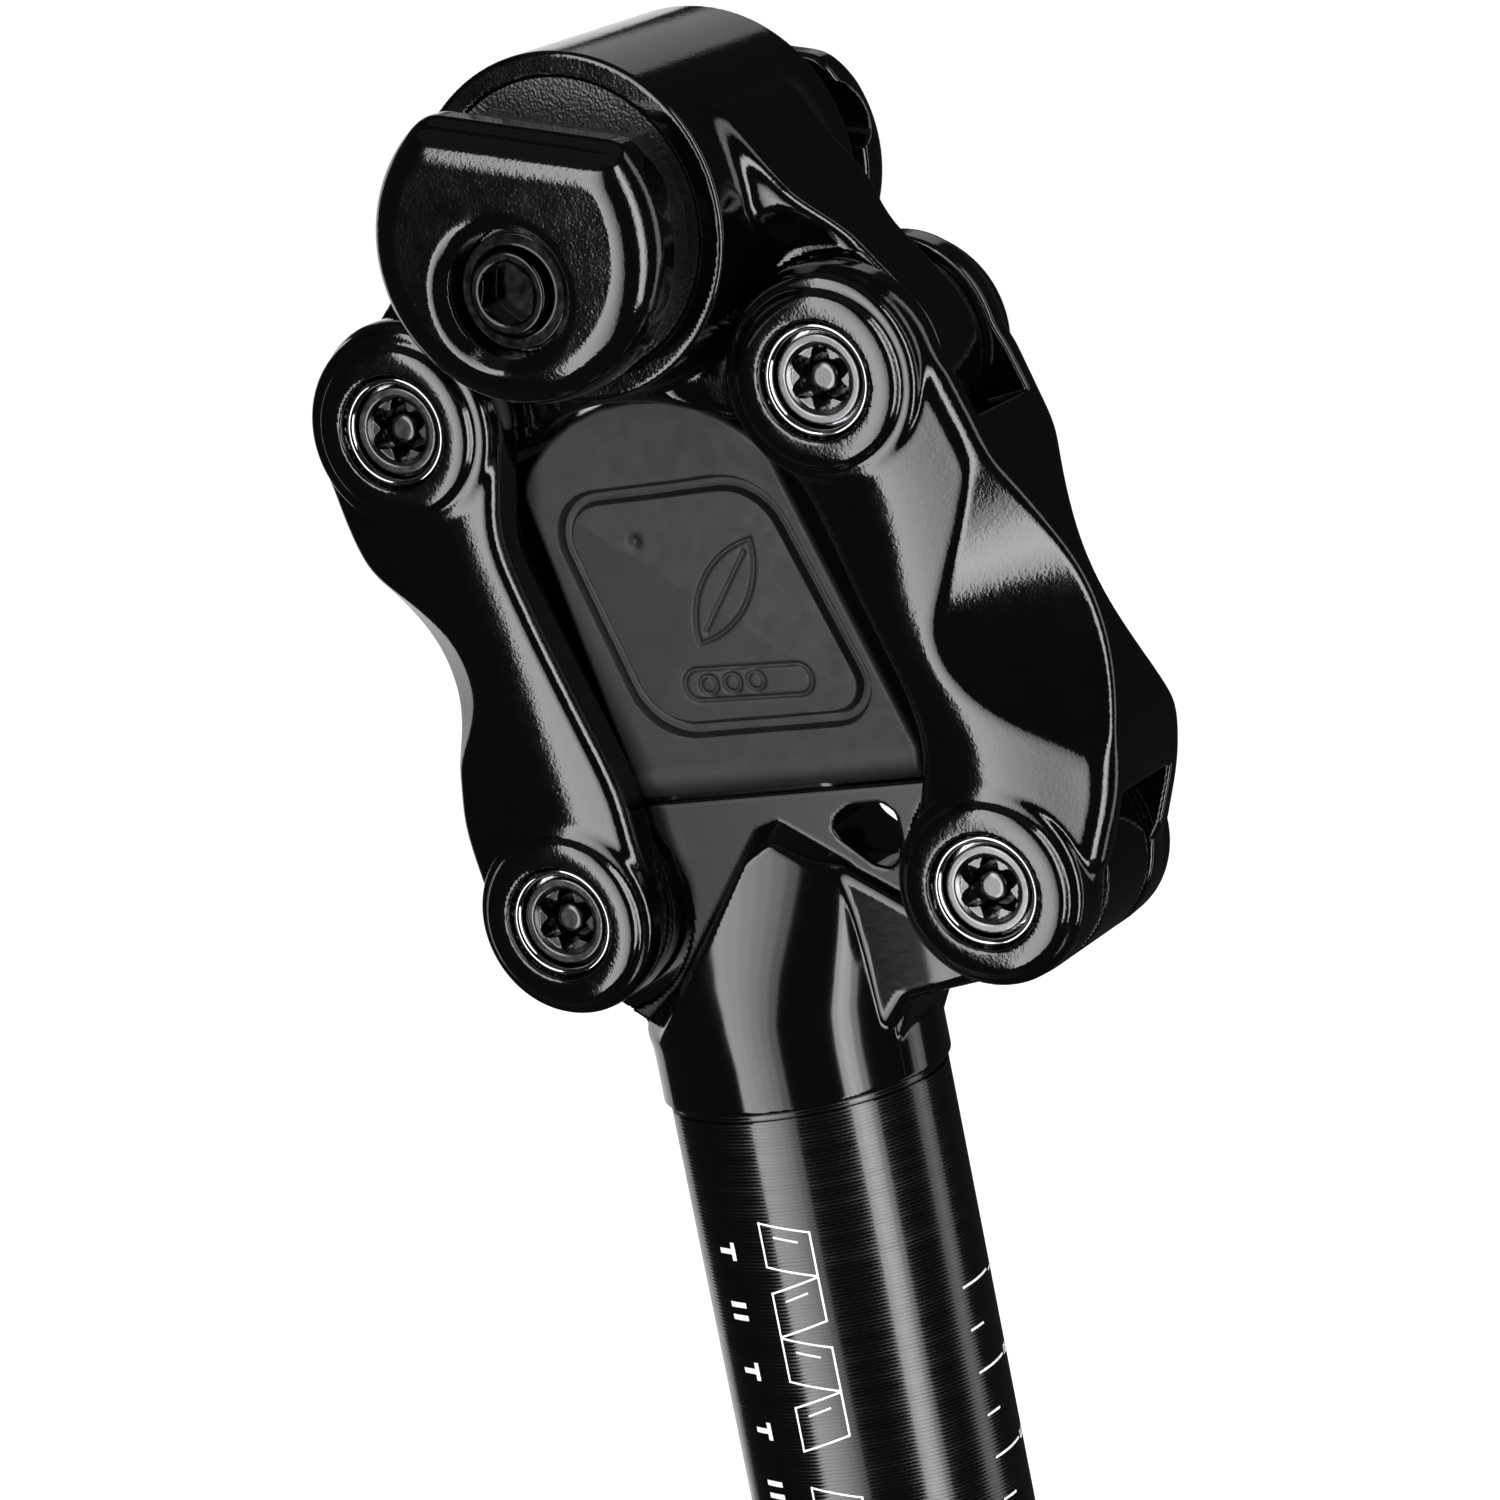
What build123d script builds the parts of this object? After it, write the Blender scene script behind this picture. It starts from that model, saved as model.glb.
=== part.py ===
# Short-travel parallelogram suspension seatpost.
# Frame: millimetres, Z up along the post tube, X toward the handlebar,
# Y toward the rider's left.  The origin is on the tube axis, on the plane
# where the tube meets the lower yoke.
from build123d import *
import os
from math import sin, cos, radians, sqrt

os.makedirs("parts", exist_ok=True)

# ---------------------------------------------------------------- dimensions
TUBE_R = 15.8          # 31.6 mm seatpost
TUBE_BORE = 13.3
TUBE_LEN = 276.0
COLLAR_R = 16.45
SPIGOT_R = 13.25
SPIGOT_LEN = 38.0

RL = (-19.85, 22.70)   # rear lower pivot (x, z)
FL = (33.10, 22.70)    # front lower pivot
RU = (-28.25, 79.55)   # rear upper pivot
FU = (24.75, 79.55)    # front upper pivot
CL = (0.0, 99.60)      # saddle clamp centre

LUG_HALF = 5.3         # half width of the pivot lugs
PLATE_HALF = 5.8       # half width of the yoke and head plates
LUG_R = 11.0
ARM_IN = 6.35          # inner face of the link arms
ARM_OUT = 11.6         # outer face of the link arms
BOSS_OUT = 13.7        # outer face of the pivot bosses
BOSS_R = 9.75
ARM_R_TOP = 12.1
ARM_R_LOW = 10.8
NOTCH_R = 11.8         # room in the link fork for the lug

AXLE_R = 6.20
AXLE_HALF = 12.95
AXLE_BORE = 3.00
AXLE_CBORE_R = 5.30
AXLE_CBORE_DEEP = 3.2
COUNTERBORE_R = 6.45   # step in the boss face around the axle
BUSH_R = 7.40
BUSH_BORE = 6.24
WASHER_IN, WASHER_OUT = 5.34, 6.05
WASHER_R = 10.6
SCREW_HEAD_R = 4.90
SCREW_HEAD_T = 2.6
SCREW_SHANK_R = 2.95
SCREW_LEN = 10.2
TORX_R = 3.95

BARREL_R = 19.0
BARREL_HALF = 16.2
BARREL_BORE = 12.0
SEAT_R = 16.25         # counterbore that holds the inner clamps
SEAT_DEEP = 3.0
TILT = 14.7            # rails point this far nose-down of the tube's normal
INNER_R = 16.20
PLUG_R = 11.95
JAW_R = 15.0
JAW_FACE = 21.55
OUTER_FACE = 22.45
OUTER_OUT = 29.6
OUTER_R = 17.1
FLAT_H = 12.0          # flat on the outer clamp above its centre
LIP_H = 13.6           # taller lip on the clamp's inner side
RAIL_R = 3.5
RAIL_Y = 22.0
RAIL_H = 7.6           # rail axis above the clamp centre
BOLT_DROP = 4.8        # bolt axis below the clamp centre
BOLT_R = 3.95
BOLT_HOLE_R = 4.05
BOLT_HEAD_R = 6.5
NUT_BARREL_R = 5.5     # sleeve of the nut, running inward through the left clamps
NUT_HOLE_R = 5.6
NUT_IN = 15.0
HEX_AF = 6.0


# ------------------------------------------------------------------- helpers
def cyl(p, r, y0, y1):
    """Cylinder along Y at (x, z) between y0 and y1."""
    return Pos(p[0], (y0 + y1) / 2, p[1]) * Rot(90, 0, 0) * Cylinder(r, abs(y1 - y0))


def ring(p, r, ri, y0, y1):
    return cyl(p, r, y0, y1) - cyl(p, ri, y0 - 1, y1 + 1)


def plate(edges, y0, y1):
    """Extrude a closed outline drawn in the XZ plane from y0 to y1."""
    solid = extrude(make_face(edges), amount=y1 - y0, dir=(0, 1, 0))
    return Pos(0, y0, 0) * solid


def poly(points, y0, y1):
    pts = [(x, 0, z) for x, z in points]
    return plate([Polyline(*pts, close=True)], y0, y1)


def outline(*runs):
    """Each run is ('s', points) for a spline or ('l', points) for straights."""
    out = []
    for kind, pts in runs:
        p = [(x, 0, z) for x, z in pts]
        out.append(Spline(*p) if kind == "s" else Polyline(*p))
    return out


def egg(c, radii):
    """Ellipsoid centred at c with the given half axes."""
    return Pos(*c) * scale(Sphere(1.0), by=radii)


def soften(body, edges, sizes):
    for r in sizes:
        try:
            out = fillet(edges, r)
            if out.is_valid and out.volume > 0.5 * body.volume:
                return out
        except Exception:
            pass
    return body


def around(p, r, shape, tol=0.02):
    """Circular edges of the given radius about the Y-parallel axis at p."""
    found = []
    for e in shape.edges().filter_by(GeomType.CIRCLE):
        c = e.arc_center
        if abs(e.radius - r) < tol and abs(c.X - p[0]) < tol and abs(c.Z - p[1]) < tol:
            found.append(e)
    return found


def mirror_y(shape):
    return mirror(shape, about=Plane.XZ)


def save(name, shape):
    shape.label = name
    export_step(shape, "parts/" + name + ".step")


# ----------------------------------------------------------------- base body
tube = Pos(0, 0, -TUBE_LEN / 2) * (Cylinder(TUBE_R, TUBE_LEN) - Cylinder(TUBE_BORE, TUBE_LEN + 2))
tube = chamfer(tube.edges().filter_by(GeomType.CIRCLE).group_by(Axis.Z)[0], 0.8)
save("post_tube", tube)

# neck of the yoke: round at the tube, drawn in toward the plate
neck = loft([
    Plane((0, 0, 6.5)) * Circle(COLLAR_R),
    Plane((1.8, 0, 15.0)) * Ellipse(15.6, 14.2),
    Plane((5.0, 0, 24.0)) * Ellipse(13.2, 10.6),
    Plane((7.6, 0, 33.6)) * Ellipse(9.5, 6.6),
])
collar = Pos(0, 0, 3.3) * Cylinder(COLLAR_R, 6.4)
collar = chamfer(collar.edges().filter_by(GeomType.CIRCLE).group_by(Axis.Z)[0], 0.6)
spigot = Pos(0, 0, -SPIGOT_LEN / 2 + 1.0) * Cylinder(SPIGOT_R, SPIGOT_LEN + 2.0)
spigot = spigot - Pos(0, 0, -SPIGOT_LEN / 2 - 4.0) * Cylinder(9.5, SPIGOT_LEN)
yoke_plate = poly([(-19.85, 33.70), (33.10, 33.70), (33.10, 11.70), (18.0, 9.5), (15.0, 4.0),
                   (-15.0, 4.0), (-15.6, 8.6), (-19.85, 11.70)], -PLATE_HALF, PLATE_HALF)
clear = poly([(-60, 60), (60, 60), (60, 22.7 - 14), (22.0, 12.0), (18.7, 22.0), (5.8, 30.7), (2.9, 29.8),
              (-10.7, 12.75), (-16.5, 9.5), (-60, 9.5)], -40, -PLATE_HALF)
neck = neck - clear - mirror_y(clear)
yoke = neck + collar + spigot + yoke_plate
for p in (RL, FL):
    yoke = yoke + cyl(p, LUG_R, -LUG_HALF, LUG_HALF)
    face = cyl(p, LUG_R + 1.6, LUG_HALF, 14)
    yoke = yoke - face - mirror_y(face)
    yoke = yoke - cyl(p, BUSH_R, -30, 30)
slot = poly([(13.0, 30.4), (14.9, 31.5), (18.7, 31.5), (20.1, 30.3), (20.2, 27.3), (19.3, 25.1),
             (18.3, 24.4), (16.7, 24.8), (13.0, 28.1), (12.4, 29.1)], -30, 30)
yoke = yoke - slot
save("lower_yoke", yoke)


# ----------------------------------------------------------- pivot furniture
def axle(p):
    a = cyl(p, AXLE_R, -AXLE_HALF, AXLE_HALF) - cyl(p, AXLE_BORE, -20, 20)
    for s in (-1, 1):
        a = a - cyl(p, AXLE_CBORE_R, s * (AXLE_HALF - AXLE_CBORE_DEEP), s * 20)
    rim = [e for e in around(p, AXLE_R, a)]
    return chamfer(rim, 0.12)


def torx(p, y0, y1):
    t = cyl(p, 2.75, y0, y1)
    for k in range(6):
        an = radians(60 * k + 10)
        q = (p[0] + 2.85 * cos(an), p[1] + 2.85 * sin(an))
        t = t + cyl(q, TORX_R - 2.85, y0, y1)
    return t


def screw(p, s):
    head_in = AXLE_HALF - AXLE_CBORE_DEEP
    head_out = head_in + SCREW_HEAD_T
    b = cyl(p, SCREW_HEAD_R, s * head_in, s * head_out)
    b = chamfer(around(p, SCREW_HEAD_R, b), 0.25)
    b = b + cyl(p, SCREW_SHANK_R, s * (head_out - SCREW_LEN), s * (head_in + 0.5))
    b = b - torx(p, s * (head_out - 2.3), s * (head_out + 5))
    b = b + cyl(p, 1.75, s * (head_out - 2.5), s * (head_out - 1.2))
    return b


def hardware(tag, p):
    save("pivot_axle_" + tag, axle(p))
    save("pivot_screws_" + tag, Compound(children=[screw(p, -1), screw(p, 1)]))
    bush = ring(p, BUSH_R - 0.01, BUSH_BORE, 0.6, LUG_HALF)
    save("bushings_" + tag, Compound(children=[bush, mirror_y(bush)]))
    wash = ring(p, WASHER_R, AXLE_R + 0.08, WASHER_IN, WASHER_OUT)
    save("thrust_washers_" + tag, Compound(children=[wash, mirror_y(wash)]))


for tag, p in (("rear_lower", RL), ("front_lower", FL), ("rear_upper", RU), ("front_upper", FU)):
    hardware(tag, p)


# --------------------------------------------------------------------- links
def bosses(link, pivots):
    for p in pivots:
        for s in (-1, 1):
            b = cyl(p, BOSS_R, s * ARM_IN, s * BOSS_OUT)
            b = soften(b, [e for e in around(p, BOSS_R, b) if abs(e.center().Y) > ARM_OUT], [1.6, 1.2])
            link = link + b
    for p in pivots:
        link = link - cyl(p, AXLE_R, -30, 30)
        cb = cyl(p, COUNTERBORE_R, AXLE_HALF - 0.1, 30)
        link = link - cb - mirror_y(cb)
    return link


front = plate(outline(
    ("s", [(36.8, 80.5), (38.6, 76.0), (41.1, 68.0), (43.6, 60.0), (46.3, 52.0), (48.4, 44.0), (49.2, 37.0),
           (48.3, 31.0), (46.0, 25.0), (43.4, 19.5)]),
    ("l", [(43.4, 19.5), (33.1, 12.0), (24.0, 17.0), (23.6, 27.0)]),
    ("s", [(23.6, 27.0), (25.6, 33.0), (27.0, 38.5), (26.2, 45.0), (22.9, 55.0), (19.0, 66.5), (15.4, 73.0)]),
    ("l", [(15.4, 73.0), (13.6, 82.5), (20.0, 90.5), (30.0, 90.5), (36.8, 80.5)]),
), -ARM_OUT, ARM_OUT)
front = front & (poly([(-60, 22.7), (90, 22.7), (90, 79.55), (-60, 79.55)], -20, 20)
                 + cyl(FU, ARM_R_TOP, -20, 20) + cyl(FL, ARM_R_LOW, -20, 20))
front = front + cyl(FU, ARM_R_TOP, -ARM_OUT, ARM_OUT) + cyl(FL, ARM_R_LOW, -ARM_OUT, ARM_OUT)
# fork notches and the channel between the arms
front = front - poly([(-5, 73.6), (33.0, 72.0), (70, 77.0), (70, 100), (-5, 100)], -ARM_IN, ARM_IN)
front = front - cyl(FU, NOTCH_R, -ARM_IN, ARM_IN)
front = front - poly([(-5, 28.8), (36, 28.8), (46.5, 30.6), (70, 29.0), (70, 5), (-5, 5)], -ARM_IN, ARM_IN)
front = front - cyl(FL, NOTCH_R + 0.8, -ARM_IN, ARM_IN)
front = front - poly([(38.5, 28.0), (37.9, 35.2), (36.0, 37.5), (33.6, 41.5), (32.0, 46.5), (31.3, 55.0),
                      (31.3, 75.0), (0, 75.0), (0, 28.0)],
                     -ARM_IN, ARM_IN)
# scooped flanks
for s in (-1, 1):
    front = front - egg((52.5, s * 16.2, 54.0), (20.0, 13.6, 23.0))
front = bosses(front, (FU, FL))
save("front_link", front)

rear = plate(outline(
    ("s", [(-40.3, 79.0), (-40.0, 73.0), (-38.2, 65.5), (-35.0, 60.0), (-32.2, 54.0), (-30.8, 47.5), (-31.2, 40.0),
           (-32.0, 33.7), (-31.0, 26.0), (-29.5, 19.0)]),
    ("l", [(-29.5, 19.0), (-19.85, 11.9), (-10.0, 18.0), (-9.2, 25.0)]),
    ("s", [(-9.2, 25.0), (-9.8, 30.0), (-10.6, 37.0), (-13.6, 47.0), (-16.6, 57.0), (-18.6, 66.0), (-17.3, 74.0)]),
    ("l", [(-17.3, 74.0), (-16.6, 82.5), (-23.0, 90.5), (-33.5, 90.5), (-40.3, 79.0)]),
), -ARM_OUT, ARM_OUT)
rear = rear & (poly([(-90, 22.7), (90, 22.7), (90, 79.55), (-90, 79.55)], -20, 20)
               + cyl(RU, ARM_R_TOP, -20, 20) + cyl(RL, ARM_R_LOW, -20, 20))
rear = rear + cyl(RU, ARM_R_TOP, -ARM_OUT, ARM_OUT) + cyl(RL, ARM_R_LOW, -ARM_OUT, ARM_OUT)
rear = rear - poly([(-70, 71.0), (0, 67.0), (0, 100), (-70, 100)], -ARM_IN, ARM_IN)
rear = rear - cyl(RU, NOTCH_R, -ARM_IN, ARM_IN)
rear = rear - poly([(-70, 31.0), (0, 36.0), (0, 5), (-70, 5)], -ARM_IN, ARM_IN)
rear = rear - cyl(RL, NOTCH_R, -ARM_IN, ARM_IN)
rear = rear - poly([(-19.0, 30.0), (-21.6, 44.0), (-25.0, 58.0), (-27.0, 70.0), (0, 70.0), (0, 30.0)],
                   -ARM_IN, ARM_IN)
for s in (-1, 1):
    rear = rear - egg((-38.0, s * 17.5, 50.5), (13.0, 12.0, 22.0))
rear = bosses(rear, (RU, RL))
save("rear_link", rear)

# ---------------------------------------------------------------------- head
barrel = cyl(CL, BARREL_R, -BARREL_HALF, BARREL_HALF)
barrel = soften(barrel, around(CL, BARREL_R, barrel), [1.0, 0.8])
arch = cyl((-2.5, 58.8), 20.5, -30, 30)
web = poly([(-28.25, 75.0), (24.75, 75.0), (33.3, 86.4), (17.0, 108.0), (-12.0, 111.5), (-36.3, 87.1)],
           -PLATE_HALF, PLATE_HALF)
web = web + cyl(RU, LUG_R, -LUG_HALF, LUG_HALF) + cyl(FU, LUG_R, -LUG_HALF, LUG_HALF)
# broad shoulders running from the barrel toward each lug
fore = poly([(0, 84.0), (13.0, 86.0), (17.4, 92.0), (17.0, 108.2), (8.0, 112.0)], -9.5, 9.5)
aft = poly([(0, 84.0), (-10.0, 86.0), (-17.0, 90.0), (-17.0, 105.0), (-8.0, 112.0)], -9.5, 9.5)
head = barrel + web + fore + aft
head = head - arch
for p in (RU, FU):
    face = cyl(p, ARM_R_TOP + 0.45, LUG_HALF, 30)
    head = head - face - mirror_y(face)
    head = head - cyl(p, BUSH_R, -30, 30)
head = head - cyl(CL, BARREL_BORE, -40, 40)
for s in (-1, 1):
    head = head - cyl(CL, SEAT_R, s * (BARREL_HALF - SEAT_DEEP), s * 40)
save("upper_head", head)

# ------------------------------------------------------------- saddle clamps
# local frame: u along the rails (forward), w away from the bolt, about CL
def tilt(shape):
    return Pos(CL[0], 0, CL[1]) * Rot(0, TILT, 0) * shape


def inner_clamp(s):
    o = (0, 0)
    body = cyl(o, INNER_R, s * (BARREL_HALF - SEAT_DEEP + 0.05), s * (BARREL_HALF + 0.0))
    body = body + cyl(o, PLUG_R, s * 0.4, s * (BARREL_HALF - 1.0))
    jaw = cyl(o, JAW_R, s * (BARREL_HALF - 1.0), s * JAW_FACE)
    jaw = jaw & poly([(-20, -14), (20, -14), (20, FLAT_H - 0.5), (-20, FLAT_H - 0.5)], -40, 40)
    body = body + jaw
    body = body - cyl((0, -BOLT_DROP), BOLT_HOLE_R, -40, 40)
    if s > 0:
        body = body - cyl((0, -BOLT_DROP), NUT_HOLE_R, NUT_IN - 1.5, 40)
    rail = Pos(0, s * RAIL_Y, RAIL_H) * Rot(0, 90, 0) * Cylinder(RAIL_R, 80)
    return tilt(body - rail)


def outer_clamp(s):
    o = (0, 0)
    body = cyl(o, OUTER_R, s * OUTER_FACE, s * OUTER_OUT)
    # the flat at the outer face steps up to a taller lip beside the inner clamp
    above = [(10, LIP_H), (25.4, LIP_H), (27.2, FLAT_H), (40, FLAT_H), (40, 30), (10, 30)]
    body = body - extrude(make_face(Plane.YZ * Polyline(*[(s * y, w) for y, w in above], close=True)), 25, both=True)
    outer_edges = [e for e in body.edges() if abs(abs(e.center().Y) - OUTER_OUT) < 0.01]
    body = soften(body, outer_edges, [3.6, 3.0, 2.2, 1.5])
    inner_edges = [e for e in body.edges() if abs(abs(e.center().Y) - OUTER_FACE) < 0.01]
    body = soften(body, inner_edges, [0.8, 0.5])
    b = (0, -BOLT_DROP)
    body = body - cyl(b, BOLT_HOLE_R if s < 0 else NUT_HOLE_R, -40, 40)
    body = body - cyl(b, BOLT_HEAD_R + 0.3, s * (OUTER_FACE + 2.0), s * 40)
    cone = Pos(b[0], s * (OUTER_OUT - 0.6), b[1]) * Rot(-90 * s, 0, 0) * Cone(BOLT_HEAD_R + 0.3, BOLT_HEAD_R + 2.1, 1.2)
    body = body - cone
    rail = Pos(0, s * RAIL_Y, RAIL_H) * Rot(0, 90, 0) * Cylinder(RAIL_R, 80)
    return tilt(body - rail)


save("inner_clamp_right", inner_clamp(-1))
save("inner_clamp_left", inner_clamp(1))
save("outer_clamp_right", outer_clamp(-1))
save("outer_clamp_left", outer_clamp(1))

b = (0, -BOLT_DROP)
seat = OUTER_FACE + 2.0
washer = ring(b, BOLT_HEAD_R, BOLT_R + 0.15, -(seat + 1.2), -(seat + 0.02))
save("clamp_washer", tilt(washer))
bolt = cyl(b, BOLT_HEAD_R - 0.1, -(seat + 3.9), -(seat + 1.22))
bolt = soften(bolt, [e for e in around(b, BOLT_HEAD_R - 0.1, bolt) if e.center().Y < -(seat + 3.0)], [0.7, 0.5])
bolt = bolt + cyl(b, BOLT_R, -(seat + 1.5), seat + 3.6)
hexa = extrude(Plane.XZ.offset(seat + 0.2) * Pos(0, -BOLT_DROP) * RegularPolygon(HEX_AF / sqrt(3), 6), amount=8)
bolt = bolt - hexa
save("clamp_bolt", tilt(bolt))
nut = cyl(b, BOLT_HEAD_R - 0.1, seat + 0.02, seat + 3.9)
nut = soften(nut, [e for e in around(b, BOLT_HEAD_R - 0.1, nut) if e.center().Y > seat + 3.0], [0.7, 0.5])
nut = nut + cyl(b, NUT_BARREL_R, NUT_IN, seat + 0.5)
nut = nut - cyl(b, BOLT_R + 0.02, 0, 60)
save("clamp_nut", tilt(nut))

# ----------------------------------------------------------------- elastomer
lump = plate(outline(
    ("l", [(-18.3, 69.6), (-11.2, 34.1), (24.2, 34.1), (24.6, 37.0), (13.6, 70.4)]),
    ("s", [(13.6, 70.4), (11.4, 73.4), (5.2, 77.4), (-2.5, 78.9), (-10.4, 77.3), (-16.6, 72.8), (-18.3, 69.6)]),
), -PLATE_HALF, PLATE_HALF)
gap = cyl(RU, LUG_R + 0.4, -30, 30) + cyl(FU, LUG_R + 0.4, -30, 30)
lump = lump - gap
save("elastomer", lump)
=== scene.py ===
import math

import bpy
import bmesh
import numpy as np
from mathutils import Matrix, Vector


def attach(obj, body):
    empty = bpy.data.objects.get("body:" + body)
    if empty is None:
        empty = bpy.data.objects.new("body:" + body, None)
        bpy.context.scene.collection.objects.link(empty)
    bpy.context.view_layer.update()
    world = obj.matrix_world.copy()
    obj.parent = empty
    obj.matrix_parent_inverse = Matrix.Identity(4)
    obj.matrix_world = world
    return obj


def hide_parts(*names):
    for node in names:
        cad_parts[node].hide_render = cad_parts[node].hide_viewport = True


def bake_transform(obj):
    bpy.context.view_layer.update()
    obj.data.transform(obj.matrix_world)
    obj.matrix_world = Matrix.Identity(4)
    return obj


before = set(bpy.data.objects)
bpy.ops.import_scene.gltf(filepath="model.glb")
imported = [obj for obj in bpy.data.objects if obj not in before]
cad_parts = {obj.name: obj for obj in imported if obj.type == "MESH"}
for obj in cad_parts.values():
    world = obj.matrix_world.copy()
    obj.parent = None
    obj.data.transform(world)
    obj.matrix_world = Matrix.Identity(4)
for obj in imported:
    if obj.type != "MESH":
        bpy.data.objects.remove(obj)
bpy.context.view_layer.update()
MM = 0.001

# ------------------------------------------------------------ shared dimensions
RL = (-19.85, 22.70)
FL = (33.10, 22.70)
RU = (-28.25, 79.55)
FU = (24.75, 79.55)
CL = (0.0, 99.60)
PIVOTS = (RL, FL, RU, FU)
ARM_IN = 6.35
AXLE_R = 6.20
AXLE_HALF = 12.95
COUNTERBORE_R = 6.45
TUBE_R = 15.8
TILT = math.radians(14.7)


# ---------------------------------------------------------------- field algebra
# Every field takes x, y, z in millimetres and gives a signed distance.
def smin(a, b, k):
    h = np.maximum(k - np.abs(a - b), 0.0) / k
    return np.minimum(a, b) - h * h * h * k / 6.0


def smax(a, b, k):
    return -smin(-a, -b, k)


def cyl_y(x, y, z, p, r, y0, y1, rnd=0.0):
    """Cylinder along Y with rounded rims."""
    a = np.hypot(x - p[0], z - p[1]) - (r - rnd)
    b = np.abs(y - (y0 + y1) / 2) - (abs(y1 - y0) / 2 - rnd)
    return np.minimum(np.maximum(a, b), 0) + np.hypot(np.maximum(a, 0), np.maximum(b, 0)) - rnd


def cyl_z(x, y, z, c, r, z0, z1, rnd=0.0):
    a = np.hypot(x - c[0], y - c[1]) - (r - rnd)
    b = np.abs(z - (z0 + z1) / 2) - (abs(z1 - z0) / 2 - rnd)
    return np.minimum(np.maximum(a, b), 0) + np.hypot(np.maximum(a, 0), np.maximum(b, 0)) - rnd


def poly2(x, z, pts):
    """Signed distance to a closed polygon in the XZ plane."""
    pts = np.asarray(pts, float)
    d = np.full(np.shape(x), 1e9)
    inside = np.zeros(np.shape(x), bool)
    n = len(pts)
    for i in range(n):
        a, b = pts[i], pts[(i + 1) % n]
        e = b - a
        wx, wz = x - a[0], z - a[1]
        t = np.clip((wx * e[0] + wz * e[1]) / (e @ e + 1e-12), 0, 1)
        d = np.minimum(d, (wx - t * e[0]) ** 2 + (wz - t * e[1]) ** 2)
        c1, c2 = z >= a[1], z < b[1]
        cr = e[0] * wz > e[1] * wx
        inside ^= (c1 & c2 & cr) | (~c1 & ~c2 & ~cr)
    d = np.sqrt(d)
    return np.where(inside, -d, d)


def slab(d2, y, half, rnd=0.0):
    """A flat outline of distance d2 made half thick on both sides of y = 0."""
    a = d2 + rnd
    b = np.abs(y) - half + rnd
    return np.minimum(np.maximum(a, b), 0) + np.hypot(np.maximum(a, 0), np.maximum(b, 0)) - rnd


def between(d2, y, lo, hi, rnd=0.0):
    """The same, but on both sides from |y| = lo to hi."""
    a = d2 + rnd
    b = np.abs(np.abs(y) - (lo + hi) / 2) - (hi - lo) / 2 + rnd
    return np.minimum(np.maximum(a, b), 0) + np.hypot(np.maximum(a, 0), np.maximum(b, 0)) - rnd


def egg(x, y, z, c, r):
    """Ellipsoid; a good distance near its surface."""
    k0 = np.sqrt(((x - c[0]) / r[0]) ** 2 + ((y - c[1]) / r[1]) ** 2 + ((z - c[2]) / r[2]) ** 2)
    k1 = np.sqrt(((x - c[0]) / r[0] ** 2) ** 2 + ((y - c[1]) / r[1] ** 2) ** 2 + ((z - c[2]) / r[2] ** 2) ** 2)
    return k0 * (k0 - 1.0) / np.maximum(k1, 1e-6)


def spline(pts, n=10):
    """Closed Catmull-Rom outline through pts."""
    p = np.asarray(pts, float)
    out = []
    m = len(p)
    for i in range(m):
        p0, p1, p2, p3 = p[(i - 1) % m], p[i], p[(i + 1) % m], p[(i + 2) % m]
        for j in range(n):
            t = j / n
            out.append(0.5 * ((2 * p1) + (p2 - p0) * t + (2 * p0 - 5 * p1 + 4 * p2 - p3) * t * t
                              + (3 * p1 - p0 - 3 * p2 + p3) * t ** 3))
    return np.array(out)


def curve_at(zs, vs):
    """Smooth value along z through the given stations."""
    zs, vs = np.asarray(zs, float), np.asarray(vs, float)
    g = np.linspace(zs[0], zs[-1], 400)
    v = np.interp(g, zs, vs)
    k = np.hanning(41)
    k /= k.sum()
    v = np.convolve(np.pad(v, 20, mode="edge"), k, mode="valid")
    return lambda z: np.interp(z, g, v)


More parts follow.
